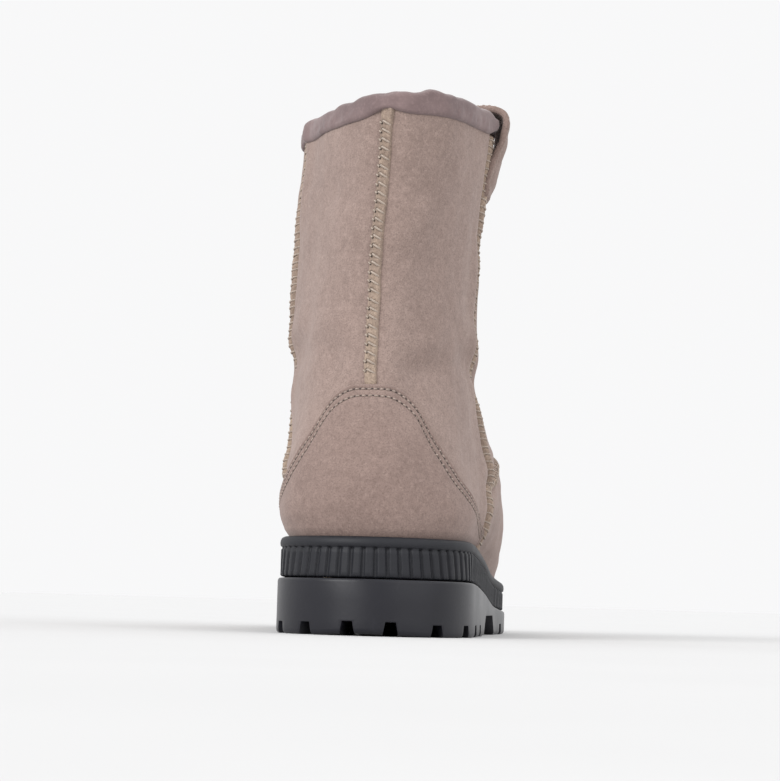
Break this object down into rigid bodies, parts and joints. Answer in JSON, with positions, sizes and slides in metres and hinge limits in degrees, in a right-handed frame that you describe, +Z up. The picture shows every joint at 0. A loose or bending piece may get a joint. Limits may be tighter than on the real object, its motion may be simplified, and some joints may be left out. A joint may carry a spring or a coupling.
{
  "type": "sheepskin ankle boot",
  "caption": "Right-foot sheepskin ankle boot with a hollow suede and fleece shaft, heel counter, bound collar and a lugged rubber sole.",
  "frame": {"origin": "middle of the boot's plan, on the floor it stands on", "axes": "+Z up, -Y towards the toe, +Y towards the heel, +X towards the inner side of the foot, -X towards the outer side"},
  "size_m": [0.1096, 0.284, 0.2315],
  "materials": {
    "sole_rubber": "moulded, semi-matt",
    "suede": "brushed suede",
    "binding": "matt woven",
    "fleece": "shorn fleece"
  },
  "bodies": {
    "root": {"outsole": "sole_rubber", "midsole": "sole_rubber", "insole": "fleece", "upper": "suede", "heel_counter": "suede", "collar_binding": "binding", "pull_loop": "suede"}
  },
  "joints": []
}
